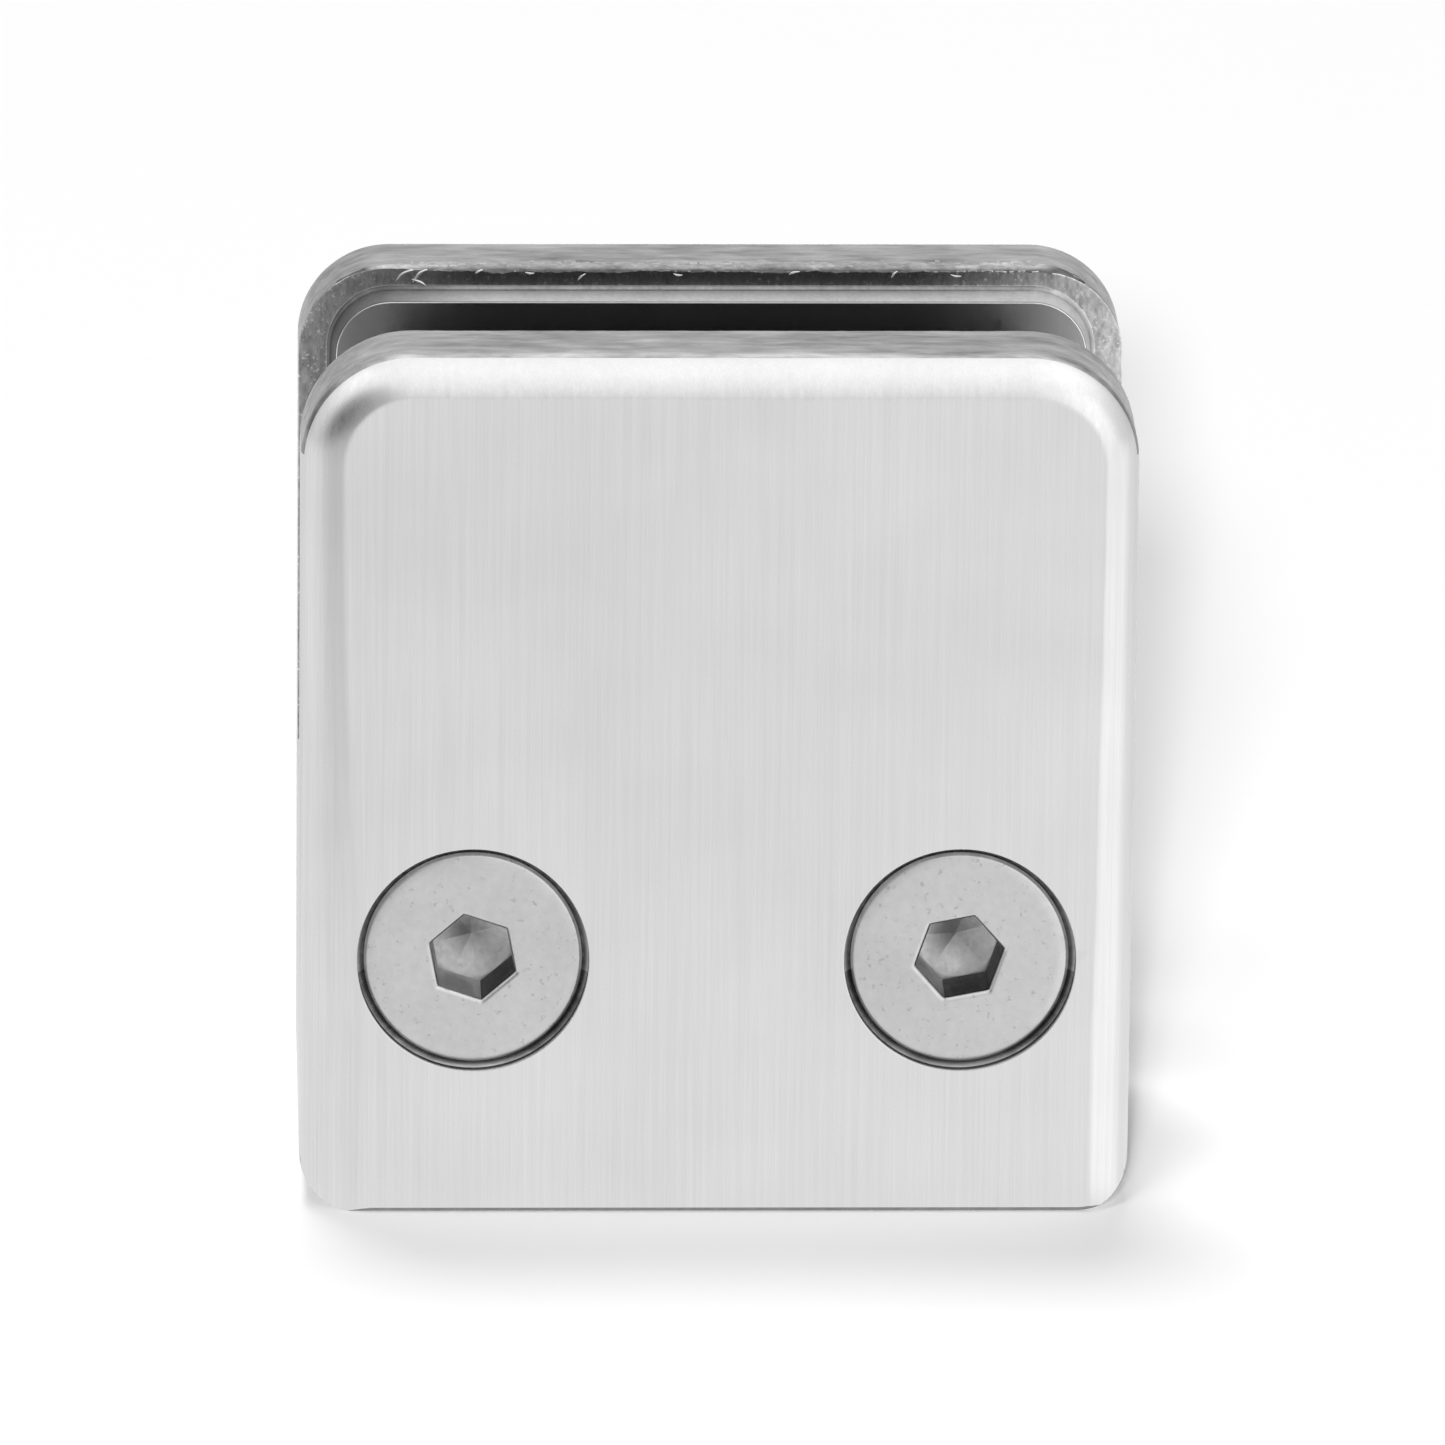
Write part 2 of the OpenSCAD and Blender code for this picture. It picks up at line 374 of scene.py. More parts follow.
def countersinkTool(x):
    outer, inner = -clamp["halfDepth"], -clamp["gapHalf"]
    radius, lip, past = holes["recessRadius"], holes["mouthRound"], holes["past"]
    shank, innerPast = holes["shankRadius"], holes["shankPast"]
    middle = holes["mouthMiddle"] * lip
    foot = outer + holes["recessDepth"]
    profile = [(radius + lip + past, outer - past), (radius + lip, outer), (radius + middle, outer + middle),
               (radius, outer + lip), (radius, foot), (shank, foot + radius - shank),
               (shank, inner - holes["shankBreak"]),
               (shank + (holes["shankBreak"] + innerPast), inner + innerPast)]
    return turned("countersinkTool", profile, (x, clamp["screwZ"]))


def threadTool(x):
    mouth, radius, past = -clamp["gapHalf"], holes["threadRadius"], holes["threadPast"]
    depth = mouth + holes["threadDepth"]
    profile = [(radius + holes["threadMouth"] + past, mouth - past), (radius, mouth + holes["threadMouth"]),
               (radius, depth), (holes["tipRadius"], depth + holes["tipSlope"] * radius)]
    return turned("threadTool", profile, (x, clamp["screwZ"]), holes["threadSteps"])


def boltTool():
    radius, lip, past, top = holes["boltRadius"], holes["boltBreak"], holes["past"], clamp["heelHeight"]
    wide = radius + lip + past
    profile = [(wide, -past), (radius, lip), (radius, top - lip), (wide, top + past)]
    tool = turned("boltTool", profile, (0, 0))
    tool.data.transform(Matrix.Rotation(math.radians(90), 4, "X"))
    return tool


def buildFrontJaw():
    piece = meshFrom("frontJaw", jawRings(-1, clamp["frontCornerRadius"], slotEdge["front"], 1.7))
    addSeat(piece, -1, clamp["heelHeight"] + seat["heelPlay"])
    joinShapes(piece, [footPrism()], "INTERSECT")
    joinShapes(piece, [countersinkTool(side * clamp["screwX"]) for side in (-1, 1)], "DIFFERENCE")
    smoothed(piece)
    return piece


# Block between the jaws, in one casting with the rear jaw
heel = {
    "edgeBreak": 0.15,
    "cornerShare": 0.5,  # share of that break by which the front's top edge is shorter at each end
    "rooted": 1.5,  # how far it goes into the rear jaw
}


def buildRearBody():
    piece = meshFrom("rearBody", jawRings(1, clamp["rearCornerRadius"], slotEdge["rear"], 4.2))
    half, top, low = clamp["halfWidth"], clamp["heelHeight"], -clamp["footSpare"]
    lip = heel["edgeBreak"]
    front, back = -clamp["gapHalf"], clamp["gapHalf"] + heel["rooted"]
    heelRings = []
    for y, inset in ((front, lip), (front + lip, 0.0), (back, 0.0)):
        side, shoulder = half - inset, half - lip - inset * heel["cornerShare"]
        section = [(-side, low), (side, low), (side, top - lip),
                   (shoulder, top - inset), (-shoulder, top - inset), (-side, top - lip)]
        heelRings.append([Vector((x, y, z)) for x, z in section])
    joinShapes(piece, [meshFrom("heelBlock", heelRings)], "UNION")
    addSeat(piece, 1, top - seat["heelOverlap"])
    joinShapes(piece, [footPrism()], "INTERSECT")
    tools = [threadTool(side * clamp["screwX"]) for side in (-1, 1)] + [boltTool()]
    joinShapes(piece, tools, "DIFFERENCE")
    smoothed(piece)
    return piece


# Chips of metal that the belt has dragged over the rear jaw's edge, as points in x and z along each
burrs = {
    "thickness": 0.11,
    "tipShare": 0.15,  # thickness of their ends against the middle
    "lift": 0.6,  # share of the worn edge's depth at which they lie
    "sides": 6,
    "lines": [
        [(-17.2, 46.9), (-17.0, 47.25), (-16.6, 47.5), (-16.2, 47.55)],
        [(-16.3, 46.8), (-16.1, 47.2), (-15.8, 47.5), (-15.4, 47.6)],
        [(-16.4, 47.05), (-16.0, 46.95), (-15.7, 46.8), (-15.5, 46.6)],
        [(-12.9, 47.35), (-12.7, 47.5), (-12.4, 47.6)],
        [(-10.2, 47.45), (-9.9, 47.35), (-9.6, 47.4)],
        [(-7.3, 46.95), (-7.15, 47.2), (-6.8, 47.4)],
        [(-2.1, 47.4), (-1.9, 47.25), (-1.5, 47.3)],
        [(4.2, 47.3), (4.4, 47.45), (4.9, 47.5)],
        [(9.8, 47.1), (9.9, 47.35), (10.2, 47.55)],
        [(13.0, 47.35), (13.3, 47.2), (13.7, 47.25)],
    ],
}


def buildBurrs(name):
    shape = bmesh.new()
    turns = [2 * math.pi * step / burrs["sides"] for step in range(burrs["sides"])]
    outwards = Vector((0, 1, 0))
    for line in burrs["lines"]:
        rings = []
        for k, (x, z) in enumerate(line):
            before, after = line[max(k - 1, 0)], line[min(k + 1, len(line) - 1)]
            along = Vector((after[0] - before[0], 0, after[1] - before[1])).normalized()
            across = Vector((along.z, 0, -along.x))
            sunk = min(max(1 - (clamp["height"] - z) / slotEdge["drop"], 0.0), 1.0)
            y = clamp["gapHalf"] + slotEdge["depth"] * (1 - math.sqrt(1 - sunk * sunk)) * burrs["lift"]
            size = burrs["thickness"] * (burrs["tipShare"] if k in (0, len(line) - 1) else 1.0)
            middle = Vector((x, y, z))
            ways = [across * math.cos(turn) + outwards * math.sin(turn) for turn in turns]
            rings.append([middle + way * size for way in ways])
        addSkin(shape, rings)
    piece = pieceOf(name, shape)
    applyModifier(piece, "SUBSURF", levels=1)
    piece.data.shade_smooth()
    return piece


# Rubber pads
pad = {
    "thickness": 1.8,
    "play": 0.05,
    "edgeRadius": 0.3,
    "edgeAngles": (0, 22.5, 45, 67.5, 90),
    "backBreak": 0.1,
}


def buildPad(name, outward):
    left, low, right, high = pocketBox()
    play, radius = pad["play"], pad["edgeRadius"]
    floor = outward * (clamp["gapHalf"] - seat["height"] + seat["pocketDepth"])
    face = floor - outward * pad["thickness"]
    depths, insets = [floor, floor - outward * pad["backBreak"]], [pad["backBreak"], 0.0]
    for angle in pad["edgeAngles"]:
        turn = math.radians(angle)
        depths.append(face + outward * radius * (1 - math.sin(turn)))
        insets.append(radius * (1 - math.cos(turn)))
    box = (left + play, low + play, right - play, high - play)
    piece = roundedPlate(name, box, (seat["pocketRadius"] - play,) * 2, depths, insets)
    smoothed(piece)
    return piece


# Countersunk socket screws; depth runs from the top of the head to the tip
screw = {
    "headRadius": 5.9,
    "headBreak": 0.15,
    "breakShare": 0.15,  # softens both ends of that break
    "breakDrop": 0.02,
    "crown": ((0.75, 0.0), (0.55, 0.01), (0.4, 0.03), (0.3, 0.05)),  # way in from the rim, and depth there
    "rimFoot": 0.45,
    "crest": 2.97,
    "root": 2.42,
    "pitch": 1.0,
    "length": 16.0,
    "sunk": 0.45,
    "tipBreak": 0.7,
    "socketAcrossFlats": 4.17,
    "socketLead": 0.32,
    "socketDepth": 3.3,
    "socketPoint": 1.2,
    "leadAngles": (0, 30, 60, 90),
    "pointInset": 0.06,  # bare ring between the drill's cone and the socket's flats
    "pointRadius": 0.004,
    "threadStart": 4.1,
    "threadFade": (0.8, 0.6),  # from this far before the start to this far behind it
    "flankSlope": 2.6,
    "crestFlat": 0.12,
    "levelsPerTurn": 12,
    "sides": 96,
    "leftTurn": 11,  # of the left screw's socket, in degrees
    "rightTurn": 41,
}


def hexRadius(angle, halfFlat):  # distance from the middle to a hexagon's edge
    third = math.pi / 3
    return halfFlat / math.cos((angle + third / 2) % third - third / 2)


def threadRadius(depth, turn):
    rise = (depth / screw["pitch"] - turn / (2 * math.pi)) % 1.0
    flank = min(max(abs(rise - 0.5) * screw["flankSlope"] - screw["crestFlat"], 0.0), 1.0)
    crest = screw["crest"] - (screw["crest"] - screw["root"]) * flank
    before, behind = screw["threadFade"]
    fade = ease(depth, screw["threadStart"] - before, screw["threadStart"] + behind)
    body = screw["crest"] * (1 - fade) + crest * fade
    tip = screw["length"] - depth
    return min(body, screw["crest"] - screw["tipBreak"] + tip)


def buildScrew(name, side, socketTurn):
    sides = screw["sides"]
    head, half = screw["headRadius"], screw["socketAcrossFlats"] / 2
    turns = [2 * math.pi * i / sides for i in range(sides)]
    hexTurn = math.radians(socketTurn)

    def ring(depth, radiusOf):
        reach = [(radiusOf(turn), turn) for turn in turns]
        return [Vector((radius * math.cos(turn), radius * math.sin(turn), -depth)) for radius, turn in reach]

    def hexRing(depth, halfFlat):
        return ring(depth, lambda turn: hexRadius(turn - hexTurn, halfFlat))

    pointDepth = screw["socketDepth"] + screw["socketPoint"]
    rings = [ring(pointDepth, lambda turn: screw["pointRadius"])]
    rings += [ring(screw["socketDepth"], lambda turn: half - screw["pointInset"])]
    rings += [hexRing(screw["socketDepth"], half)]
    lead = screw["socketLead"]
    for angle in screw["leadAngles"]:
        rise = math.radians(angle)
        rings.append(hexRing(lead * (1 - math.sin(rise)), half + lead * (1 - math.cos(rise))))
    wide, thin = screw["headBreak"], screw["headBreak"] * screw["breakShare"]
    rim = screw["crown"][-1][1] + screw["breakDrop"]
    edge = ((wide + thin, rim), (wide - thin, rim + thin),
            (thin, rim + wide - thin), (0.0, rim + wide + thin))
    for inset, depth in screw["crown"] + edge:
        rings.append(ring(depth, lambda turn, radius=head - inset: radius))
    start = screw["rimFoot"] + head - screw["crest"]
    rings.append(ring(screw["rimFoot"], lambda turn: head))
    rings.append(ring(start, lambda turn: screw["crest"]))
    levels = round((screw["length"] - start) * screw["levelsPerTurn"] / screw["pitch"])
    for k in range(1, levels + 1):
        depth = start + (screw["length"] - start) * k / levels
        rings.append(ring(depth, lambda turn, depth=depth: threadRadius(depth, turn)))
    piece = meshFrom(name, rings)
    spot = Vector((side * clamp["screwX"], -clamp["halfDepth"] + screw["sunk"], clamp["screwZ"])) * mm
    piece.data.transform(Matrix.Translation(spot) @ Matrix.Rotation(math.radians(90), 4, "X"))
    smoothed(piece)
    return piece


frontJaw = buildFrontJaw()
print("clamp: front jaw built, faces", len(frontJaw.data.polygons))
rearBody = buildRearBody()
print("clamp: rear body built, faces", len(rearBody.data.polygons))
rearBurrs = buildBurrs("rearBurrs")
rearPad = buildPad("rearPad", 1)
frontPad = buildPad("frontPad", -1)
leftScrew = buildScrew("leftScrew", -1, screw["leftTurn"])
rightScrew = buildScrew("rightScrew", 1, screw["rightTurn"])
print("clamp: pads and screws built, faces of one screw", len(leftScrew.data.polygons))

dressing = [
    (frontJaw, "front_jaw", "front_jaw", "brushed_metal"),
    (rearBody, "rear_body", "rear_body", "brushed_metal"),
    (rearPad, "rear_body", "rear_gasket", "black_rubber"),
    (frontPad, "front_jaw", "front_gasket", "black_rubber"),
    (leftScrew, "screw_left", "screw_left", "screw_steel"),
    (rightScrew, "screw_right", "screw_right", "screw_steel"),
]
for piece, body, node, slotName in dressing:
    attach(piece, body)
    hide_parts(node)
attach(rearBurrs, "rear_body")


# Finishes of the metal. Grain is in marks to a millimetre along X, Y and Z, and streak is how far it changes
# the tone. Leftward and rightward change the tone at the sides, fade does so between two heights, and corner
# where a face turns from the top to the side; all four are painted light and shade. Specks have a number to
# a millimetre, a threshold and a tone.
finishes = {
    "brushedFace": {"tone": 0.70, "rough": 0.28, "grain": (9.0, 9.0, 0.10), "streak": 0.045, "bump": 0.10,
                    "aniso": 0.3},
    # Painted shade: the belted top grows darker where its rounding turns from the top towards the side
    "beltedEdge": {"tone": 0.54, "rough": 0.28, "grain": (0.40, 1.5, 1.5), "streak": 0.55, "bump": 0.3,
                   "corner": 0.42},
    # Painted light and shade: the worn edge is lighter towards both ends of the slot and darker lower down,
    # into the slot
    "burredEdge": {"tone": 0.56, "rough": 0.34, "grain": (2.2, 4.5, 4.5), "streak": 0.45, "bump": 0.5,
                   "leftward": 1.3, "rightward": 1.3, "fade": (47.54, 47.78, 0.18, 1.0)},
    # Painted light and shade: the slot's land is dark in the middle, partly its own cast metal and partly
    # painted shade, and much lighter towards both open ends
    "slotMetal": {"tone": 0.17, "rough": 0.32, "grain": (5.0, 5.0, 2.2), "streak": 0.50, "bump": 0.5,
                  "leftward": 2.8, "rightward": 4.0, "specks": (5.0, 0.60, 2.1)},
    # Painted shade: the seat's hollow rounding is darker at its top, next to the dark land, and darker
    # towards the left end
    "seatRoot": {"tone": 0.42, "rough": 0.40, "grain": (4.0, 4.0, 1.2), "streak": 0.25, "bump": 0.3,
                 "leftward": 0.4, "fade": (46.42, 46.84, 1.0, 0.14)},
    # Painted shade: darker towards the left end of the seat and a little darker towards the right end
    "seatSlope": {"tone": 0.68, "rough": 0.50, "grain": (4.0, 4.0, 1.2), "streak": 0.14, "bump": 0.2,
                  "leftward": 0.35, "rightward": 0.85},
    # Painted shade: darker towards the left end
    "seatEdge": {"tone": 0.30, "rough": 0.35, "grain": (4.0, 4.0, 1.0), "streak": 0.15, "bump": 0.1,
                 "leftward": 0.4},
    # Painted light and shade: the seat's face is kept dark as in the slot's shade, and lighter towards both
    # open ends
    "seatMetal": {"tone": 0.48, "rough": 0.22, "grain": (4.0, 4.0, 1.0), "streak": 0.12, "bump": 0.1,
                  "leftward": 1.9, "rightward": 1.7},
    "recessWall": {"tone": 0.46, "rough": 0.35, "grain": (3.0, 0.8, 3.0), "streak": 0.25, "bump": 0.3},
    # Painted shade: the foot's chamfer is dark where the floor's contact shadow would show in it
    "footShade": {"tone": 0.22, "rough": 0.40, "grain": (2.5, 2.5, 2.5), "streak": 0.15, "bump": 0.2},
    "screwHead": {"tone": 0.57, "rough": 0.32, "grain": (2.0, 2.0, 2.0), "streak": 0.06, "bump": 0.05,
                  "specks": (3.0, 0.62, 0.76)},
    "socketFloor": {"tone": 0.60, "rough": 0.48, "grain": (3.0, 3.0, 3.0), "streak": 0.12, "bump": 0.2,
                    "specks": (1.6, 0.60, 0.85)},
    "socketWall": {"tone": 0.58, "rough": 0.40, "grain": (3.0, 3.0, 3.0), "streak": 0.12, "bump": 0.2},
    "socketShade": {"tone": 0.08, "rough": 0.45, "grain": (3.0, 3.0, 3.0), "streak": 0.2, "bump": 0.2},
}


class Graph:  # short way to lay out the nodes of a material or the world
    def __init__(self, owner, output="OutputMaterial"):
        owner.use_nodes = True
        self.owner = owner
        self.tree = owner.node_tree
        self.tree.nodes.clear()
        self.output = self.add(output)

    def finish(self, shader):
        self.tree.links.new(shader.outputs[0], self.output.inputs["Surface"])
        return self.owner

    def add(self, kind, inputs=None, **settings):
        node = self.tree.nodes.new("ShaderNode" + kind)
        for key, value in settings.items():
            setattr(node, key, value)
        for key, value in (inputs or {}).items():
            if isinstance(value, bpy.types.NodeSocket):
                self.tree.links.new(value, node.inputs[key])
            else:
                node.inputs[key].default_value = value
        return node

    def math(self, operation, a, b=0.0, clamped=False):
        node = self.add("Math", {0: a, 1: b}, operation=operation)
        node.use_clamp = clamped
        return node.outputs[0]

    def place(self, scale):  # object place in millimetres, stretched by scale
        spot = self.add("TexCoord").outputs["Object"]
        factor = tuple(value / mm for value in scale)
        return self.add("VectorMath", {0: spot, 1: factor}, operation="MULTIPLY").outputs[0]

    def noise(self, scale, detail=2.0, roughness=0.5):
        return self.add("TexNoise", {"Vector": self.place(scale), "Scale": 1.0, "Detail": detail,
                                     "Roughness": roughness}).outputs["Fac"]

    def span(self, value, fromLow, fromHigh, toLow, toHigh):
        node = self.add("MapRange", {"Value": value, "From Min": fromLow, "From Max": fromHigh,
                                     "To Min": toLow, "To Max": toHigh})
        return node.outputs["Result"]


# What all the metal finishes share
metalGrain = {
    "fineNoise": (3.0, 0.6),  # detail and roughness
    "spread": (0.3, 0.7),  # most of the noise lies between these values
    "coarseScale": 0.3,  # coarse grain against fine grain
    "fineShare": 0.6,
    "coarseShare": 0.4,
    "cloud": 0.12,  # pale and dark clouds to a millimetre
    "cloudTone": (0.97, 1.03),
    "speckBlur": 0.09,
    "cornerFacing": (0.55, 0.97),  # upward share of the normal over which corner's painted shade fades out
    # x spans over which the painted light and shade at the ends of the slot come in
    "rightSpan": (11.0, 19.0),
    "leftSpan": (-18.0, -13.0),
    "roughSwing": 0.05,
    "bumpDepth": 0.01,
    "grainTurn": 0.25,
}


def metal(name):
    look = finishes[name]
    graph = Graph(bpy.data.materials.new(name))
    low, high = metalGrain["spread"]
    fine = graph.noise(look["grain"], *metalGrain["fineNoise"])
    coarse = graph.noise([value * metalGrain["coarseScale"] for value in look["grain"]])
    cloudy = graph.noise((metalGrain["cloud"],) * 3)
    mixed = graph.math("ADD", graph.math("MULTIPLY", fine, metalGrain["fineShare"]),
                       graph.math("MULTIPLY", coarse, metalGrain["coarseShare"]))
    tone = look["tone"]
    streak = graph.span(mixed, low, high, tone * (1 - look["streak"]), tone * (1 + look["streak"]))
    changes = [graph.span(cloudy, low, high, *metalGrain["cloudTone"])]
    if "specks" in look:
        often, edge, change = look["specks"]
        specks = graph.noise((often,) * 3, *metalGrain["fineNoise"])
        changes.append(graph.span(specks, edge, edge + metalGrain["speckBlur"], 1.0, change))
    # corner, rightward, leftward and fade paint shade and light into the colour
    if "corner" in look:
        upward = graph.add("SeparateXYZ", {0: graph.add("TexCoord").outputs["Normal"]}).outputs["Z"]
        changes.append(graph.span(upward, *metalGrain["cornerFacing"], look["corner"], 1.0))
    spot = graph.add("SeparateXYZ", {0: graph.place((1, 1, 1))}).outputs
    if "rightward" in look:
        changes.append(graph.span(spot["X"], *metalGrain["rightSpan"], 1.0, look["rightward"]))
    if "leftward" in look:
        changes.append(graph.span(spot["X"], *metalGrain["leftSpan"], look["leftward"], 1.0))
    if "fade" in look:
        changes.append(graph.span(spot["Z"], *look["fade"]))
    value = streak
    for change in changes:
        value = graph.math("MULTIPLY", value, change, True)
    colour = graph.add("CombineColor", {0: value, 1: value, 2: value}).outputs[0]
    swing = metalGrain["roughSwing"]
    rough = graph.span(mixed, low, high, look["rough"] + swing, look["rough"] - swing)
    bump = graph.add("Bump", {"Strength": look["bump"], "Distance": metalGrain["bumpDepth"] * mm,
                              "Height": mixed})
    along = graph.add("CombineXYZ", {0: 0.0, 1: 0.0, 2: 1.0}).outputs[0]
    shader = graph.add("BsdfPrincipled", {"Base Color": colour, "Roughness": rough, "Metallic": 1.0,
                                          "Normal": bump.outputs[0], "Anisotropic": look.get("aniso", 0.0),
                                          "Anisotropic Rotation": metalGrain["grainTurn"], "Tangent": along})
    return graph.finish(shader)


rubberLook = {
    "grain": 9.0,  # marks to a millimetre
    "cloud": 0.4,
    "spread": (0.3, 0.7),
    "tone": (0.009, 0.018),
    "rough": (0.55, 0.75),
    "bump": 0.4,
    "bumpDepth": 0.03,
}


def rubber(name):
    graph = Graph(bpy.data.materials.new(name))
    low, high = rubberLook["spread"]
    grain = graph.noise((rubberLook["grain"],) * 3, 3.0, 0.6)
    cloudy = graph.noise((rubberLook["cloud"],) * 3)
    mixed = graph.math("ADD", graph.math("MULTIPLY", grain, 0.5), graph.math("MULTIPLY", cloudy, 0.5))
    value = graph.span(mixed, low, high, *rubberLook["tone"])
    colour = graph.add("CombineColor", {0: value, 1: value, 2: value}).outputs[0]
    rough = graph.span(grain, low, high, *rubberLook["rough"])
    bump = graph.add("Bump", {"Strength": rubberLook["bump"], "Distance": rubberLook["bumpDepth"] * mm,
                              "Height": grain})
    shader = graph.add("BsdfPrincipled", {"Base Color": colour, "Roughness": rough,
                                          "Normal": bump.outputs[0]})
    return graph.finish(shader)


metals = {name: metal(name) for name in finishes}
blackRubber = rubber("blackRubber")


def paint(piece, materials, pick):  # pick gives the name of the finish for a face's middle and normal
    names = list(materials)
    piece.data.materials.clear()
    for name in names:
        piece.data.materials.append(materials[name])
    for face in piece.data.polygons:
        face.material_index = names.index(pick(face.center / mm, face.normal))


# Where one finish ends and the next begins. Facing and tilt are shares of a face's normal along one axis.
zones = {
    "onSlot": 0.02,  # this near to the jaw's inner face, a face belongs to it
    "belowHeel": 0.5,
    "rootShare": 0.9,  # of the seat's root radius
    "onSeat": 0.01,
    "seatFacing": 0.95,
    "footHeight": 0.3,
    "footTilt": 0.3,
    "burrDepth": 2.0,
    "burrHeight": 1,
    "burrTilt": 0.12,
    "beltTilt": 0.08,
    "recessPlay": 0.01,
    "recessFacing": 0.9,
    "rimWidth": 0.1,
    "screwFacing": 0.3,
    "shadeTilt": (-0.15, 0.1),  # socket walls that face further left and up than this lie in shade
}


def fromScrewAxis(middle):
    return math.hypot(abs(middle.x) - clamp["screwX"], middle.z - clamp["screwZ"])


def jawFinish(middle, normal):
    depth = clamp["gapHalf"] - abs(middle.y)
    facing = abs(normal.y)
    if depth > -zones["onSlot"] and middle.z > clamp["heelHeight"] - zones["belowHeel"]:
        if depth < zones["onSlot"]:
            return "slotMetal"
        if depth < zones["rootShare"] * seat["rootRadius"]:
            return "seatRoot"
        if depth > seat["height"] - zones["onSeat"] or facing > zones["seatFacing"]:
            return "seatMetal"
        return "seatEdge" if depth > seat["height"] - seat["edgeRadius"] else "seatSlope"
    # The foot's chamfer takes the painted shade of the floor's contact shadow
    if middle.z < zones["footHeight"] and normal.z < -zones["footTilt"] and facing > zones["footTilt"]:
        return "footShade"
    onTop = middle.z > clamp["height"] - zones["burrHeight"]
    if onTop and depth > -zones["burrDepth"] and facing > zones["burrTilt"]:
        return "burredEdge"
    if clamp["halfDepth"] - abs(middle.y) > clamp["beltDepth"] and normal.z > zones["beltTilt"]:
        return "beltedEdge"
    inRecess = fromScrewAxis(middle) < holes["recessRadius"] + zones["recessPlay"]
    if inRecess and facing < zones["recessFacing"]:
        return "recessWall"
    return "brushedFace"


def screwFinish(middle, normal):
    fromAxis = fromScrewAxis(middle)
    depth = middle.y + clamp["halfDepth"] - screw["sunk"]
    upright = abs(normal.y) < zones["screwFacing"]
    if fromAxis > screw["headRadius"] - zones["rimWidth"] and upright:
        return "recessWall"
    if fromAxis < screw["crest"] and screw["socketLead"] < depth < screw["length"] / 2 and not upright:
        return "socketFloor"
    if fromAxis < screw["root"] and depth < screw["socketDepth"] and upright:
        left, up = zones["shadeTilt"]
        return "socketShade" if normal.x < left and normal.z > up else "socketWall"
    return "screwHead"


screwFinishes = ("screwHead", "recessWall", "socketFloor", "socketWall", "socketShade")
for piece in (frontJaw, rearBody):
    paint(piece, metals, jawFinish)
for piece in (leftScrew, rightScrew):
    paint(piece, {name: metals[name] for name in screwFinishes}, screwFinish)
for piece in (rearPad, frontPad):
    paint(piece, {"blackRubber": blackRubber}, lambda middle, normal: "blackRubber")
paint(rearBurrs, {"brushedFace": metals["brushedFace"]}, lambda middle, normal: "brushedFace")
print("clamp: finishes on")


# Camera at the photograph's view, fitted to the clamp's outline
shot = {
    "elevation": 16.886,
    "swing": -1.957,
    "roll": 0.572,
    "distance": 919.9,
    "aim": (0.631, 0.0, 23.778),
    "pixelsPerMm": 18.334,
    "framePixels": 1445,
    "filmWidth": 36.0,
    "clip": (0.01, 20.0),  # metres
}


def addCamera():
    rise, swing, roll = (math.radians(shot[key]) for key in ("elevation", "swing", "roll"))
    back = Vector((math.sin(swing) * math.cos(rise), -math.cos(swing) * math.cos(rise), math.sin(rise)))
    right = Vector((math.cos(swing), math.sin(swing), 0))
    up = Vector((-math.sin(swing) * math.sin(rise), math.cos(swing) * math.sin(rise), math.cos(rise)))
    across = right * math.cos(roll) + up * math.sin(roll)
    upright = up * math.cos(roll) - right * math.sin(roll)
    data = bpy.data.cameras.new("camera")
    data.lens = shot["filmWidth"] * shot["pixelsPerMm"] * shot["distance"] / shot["framePixels"]
    data.sensor_width = shot["filmWidth"]
    data.clip_start, data.clip_end = shot["clip"]
    camera = bpy.data.objects.new("camera", data)
    bpy.context.scene.collection.objects.link(camera)
    turn = Matrix((across, upright, back)).transposed()
    eye = Vector(shot["aim"]) + back * shot["distance"]
    camera.matrix_world = Matrix.Translation(eye * mm) @ turn.to_4x4()
    bpy.context.scene.camera = camera


addCamera()

# Studio: soft lobes of light in the world, seen only in the metal, and lamps that give the white floor its
# shadow and don't show in the metal
studio = {
    "fill": 0.10,  # what the world adds to matt surfaces
    "ambient": 0.62,
    "lobes": [  # azimuth from -Y towards +X, elevation, inner and outer angle, strength
        (0, 0, 5, 50, 0.35),
        (0, 85, 25, 75, 0.66),
        (40, 5, 8, 38, 0.30),
        (46, 15, 6, 30, 0.25),
        (80, 35, 15, 65, 0.30),
        (-35, 12, 12, 35, -0.52),
        (-92, 30, 10, 40, 0.30),
    ],
    "lamps": {  # azimuth and elevation of the lamp, distance, side, power
        "lowLamp": (-4.5, 17.0, 12.0, 0.50, 1098.0),
        "frontLamp": (-6.8, 23.0, 9.0, 0.70, 342.0),
        "overheadLamp": (-35.8, 77.8, 6.0, 0.90, 36.9),
        "sideLamp": (-21.8, 59.8, 5.0, 1.30, 34.8),
        "backLamp": (194.3, 74.1, 4.0, 1.14, 74.0),
    },
    "floorSize": 6.0,
    "floorGlow": 0.02,
    "floorTone": 0.85,
    # Light and dark sheets on the table, seen only in the metal: from x and y, azimuth, inner and outer
    # angle, distance at which they start and are full, strength
    "floorSheets": [
        (-21, -12, -38, 6, 26, 50, 115, -0.27),
        (21, -12, 50, 20, 50, 0, 5, 0.27),
        (0, 12, 180, 40, 100, 0, 5, -0.15),
    ],
    "floorSpan": (-150.0, -15.0),  # what the metal sees of the floor, far and near in front of the clamp
    "floorLight": (0.97, 1.04),
}


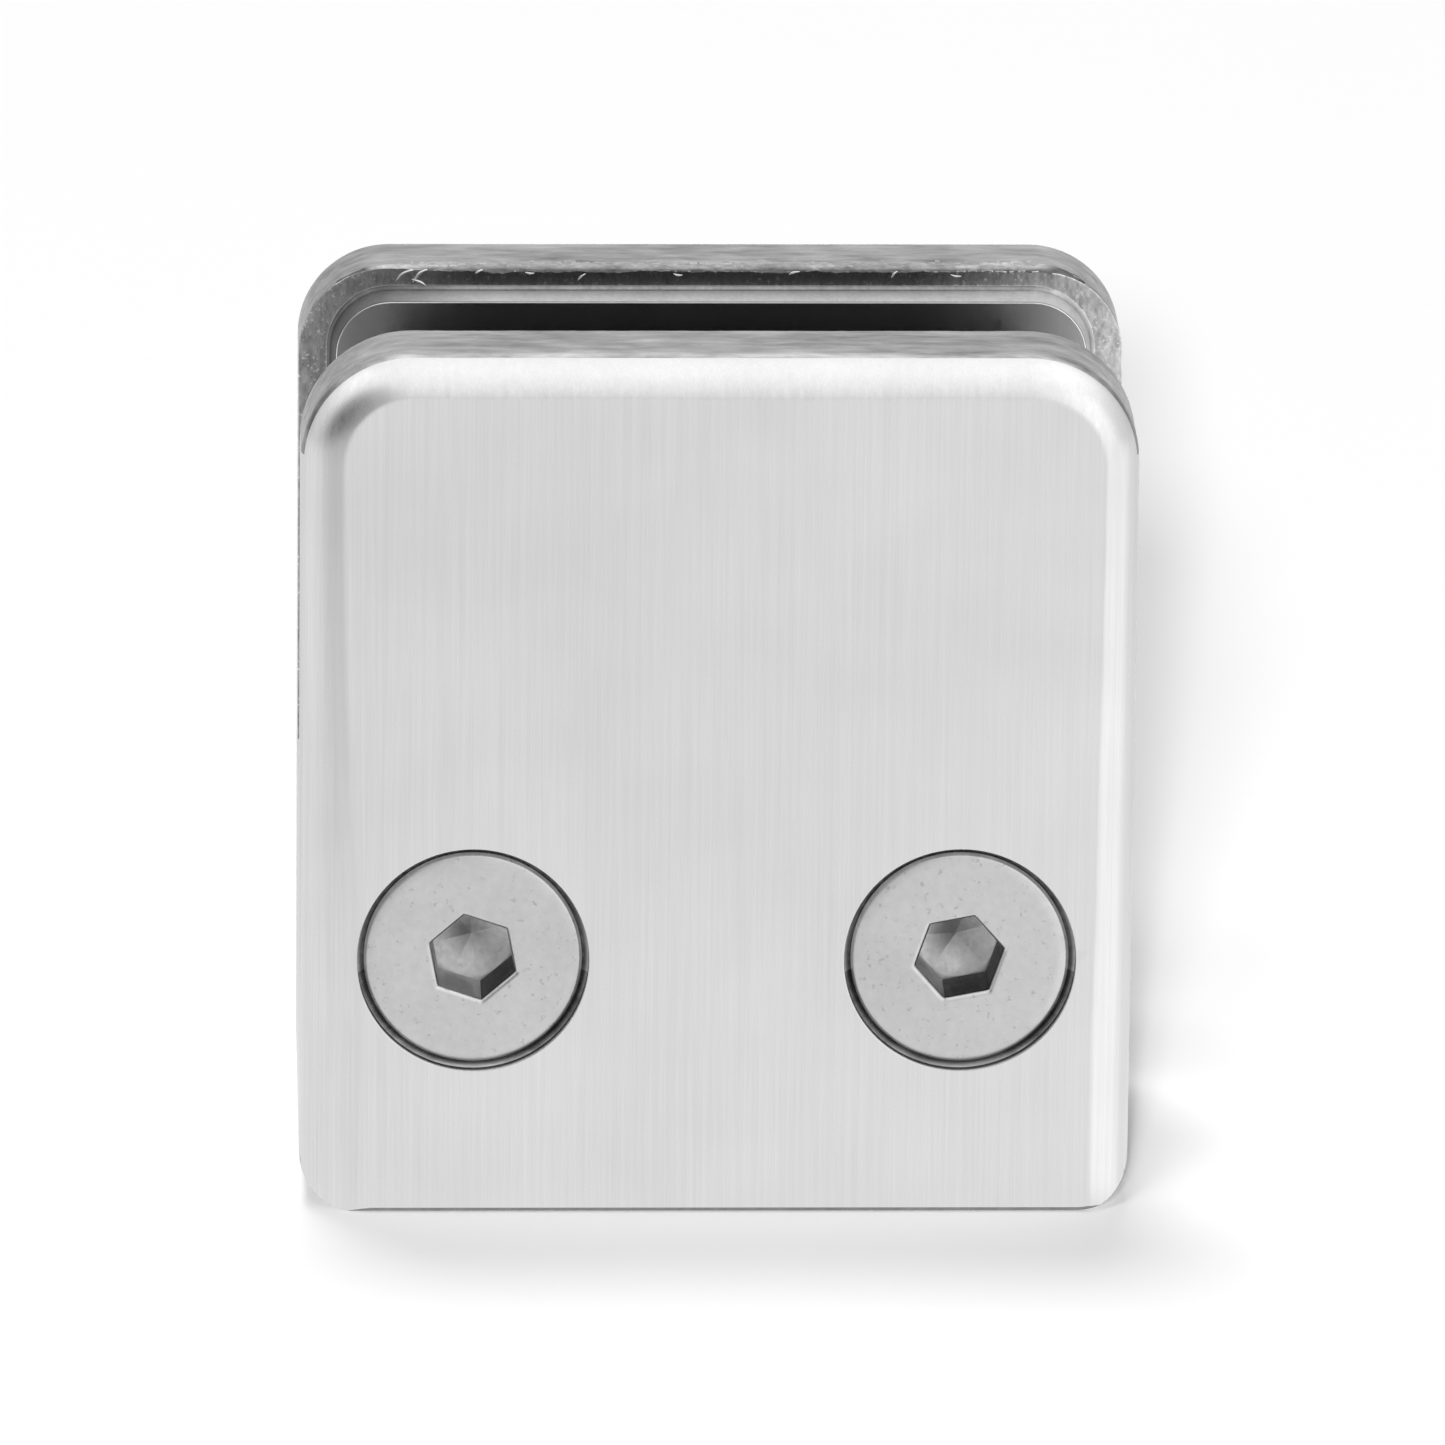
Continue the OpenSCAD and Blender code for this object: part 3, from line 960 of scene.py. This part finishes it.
def lobeOf(graph, direction, towards, inner, outer, strength):  # soft patch of light round one direction
    facing = graph.add("VectorMath", {0: direction, 1: towards}, operation="DOT_PRODUCT").outputs["Value"]
    rim, core = math.cos(math.radians(outer)), math.cos(math.radians(inner))
    edges = {"Value": facing, "From Min": rim, "From Max": core, "To Min": 0.0, "To Max": strength}
    return graph.add("MapRange", edges, interpolation_type="SMOOTHSTEP").outputs["Result"]


def addWorld():
    world = bpy.data.worlds.new("studioLight")
    bpy.context.scene.world = world
    graph = Graph(world, "OutputWorld")
    direction = graph.add("TexCoord").outputs["Generated"]
    total = studio["ambient"]
    for azimuth, elevation, inner, outer, strength in studio["lobes"]:
        lobe = lobeOf(graph, direction, towardsSky(azimuth, elevation), inner, outer, strength)
        total = graph.math("ADD", lobe, total)
    mirrored = graph.add("Background", {"Color": (1, 1, 1, 1), "Strength": total})
    fill = graph.add("Background", {"Color": (1, 1, 1, 1), "Strength": studio["fill"]})
    seen = graph.add("Background", {"Color": (1, 1, 1, 1), "Strength": 1.0})
    path = graph.add("LightPath").outputs
    inMetal = graph.add("MixShader", {0: path["Is Glossy Ray"], 1: fill.outputs[0], 2: mirrored.outputs[0]})
    shown = graph.add("MixShader", {0: path["Is Camera Ray"], 1: inMetal.outputs[0], 2: seen.outputs[0]})
    graph.finish(shown)


def towardsSky(azimuth, elevation):
    turn, rise = math.radians(azimuth), math.radians(elevation)
    return Vector((math.sin(turn) * math.cos(rise), -math.cos(turn) * math.cos(rise), math.sin(rise)))


def addLamp(name, azimuth, elevation, distance, side, power):
    data = bpy.data.lights.new(name, "AREA")
    data.shape = "DISK"
    data.size = side
    data.energy = power
    lamp = bpy.data.objects.new(name, data)
    bpy.context.scene.collection.objects.link(lamp)
    way = towardsSky(azimuth, elevation)
    lamp.location = way * distance
    lamp.rotation_euler = way.to_track_quat("Z", "Y").to_euler()
    lamp.visible_glossy = False


def addFloor():
    half = studio["floorSize"] / 2
    mesh = bpy.data.meshes.new("floor")
    corners = [(-half, -half, 0), (half, -half, 0), (half, half, 0), (-half, half, 0)]
    mesh.from_pydata(corners, [], [(0, 1, 2, 3)])
    floor = bpy.data.objects.new("floor", mesh)
    bpy.context.scene.collection.objects.link(floor)
    graph = Graph(bpy.data.materials.new("floorWhite"))
    path = graph.add("LightPath").outputs
    glow = graph.math("MULTIPLY", path["Is Camera Ray"], studio["floorGlow"])
    seen = graph.add("Emission", {"Color": (1, 1, 1, 1), "Strength": glow})
    matt = graph.add("BsdfDiffuse", {"Color": (studio["floorTone"],) * 3 + (1,)})
    both = graph.add("AddShader", {0: seen.outputs[0], 1: matt.outputs[0]})
    spot = graph.place((1, 1, 1))
    ahead = graph.add("SeparateXYZ", {0: spot}).outputs["Y"]
    strength = graph.span(ahead, *studio["floorSpan"], *studio["floorLight"])
    for x, y, azimuth, inner, outer, near, full, change in studio["floorSheets"]:
        away = graph.add("VectorMath", {0: spot, 1: (x, y, 0.0)}, operation="SUBTRACT").outputs[0]
        reach = graph.add("VectorMath", {0: away}, operation="LENGTH").outputs["Value"]
        away = graph.add("VectorMath", {0: away}, operation="NORMALIZE").outputs[0]
        sheet = lobeOf(graph, away, towardsSky(azimuth, 0), inner, outer, change)
        shown = graph.math("MULTIPLY", sheet, graph.span(reach, near, full, 0.0, 1.0))
        strength = graph.math("ADD", shown, strength)
    white = graph.add("Emission", {"Color": (1, 1, 1, 1), "Strength": strength})
    mixed = graph.add("MixShader", {0: path["Is Glossy Ray"], 1: both.outputs[0], 2: white.outputs[0]})
    mesh.materials.append(graph.finish(mixed))


addWorld()
for name, (azimuth, elevation, distance, side, power) in studio["lamps"].items():
    addLamp(name, azimuth, elevation, distance, side, power)
addFloor()
bpy.context.scene.view_settings.view_transform = "Standard"
print("clamp: camera, light and floor in place")
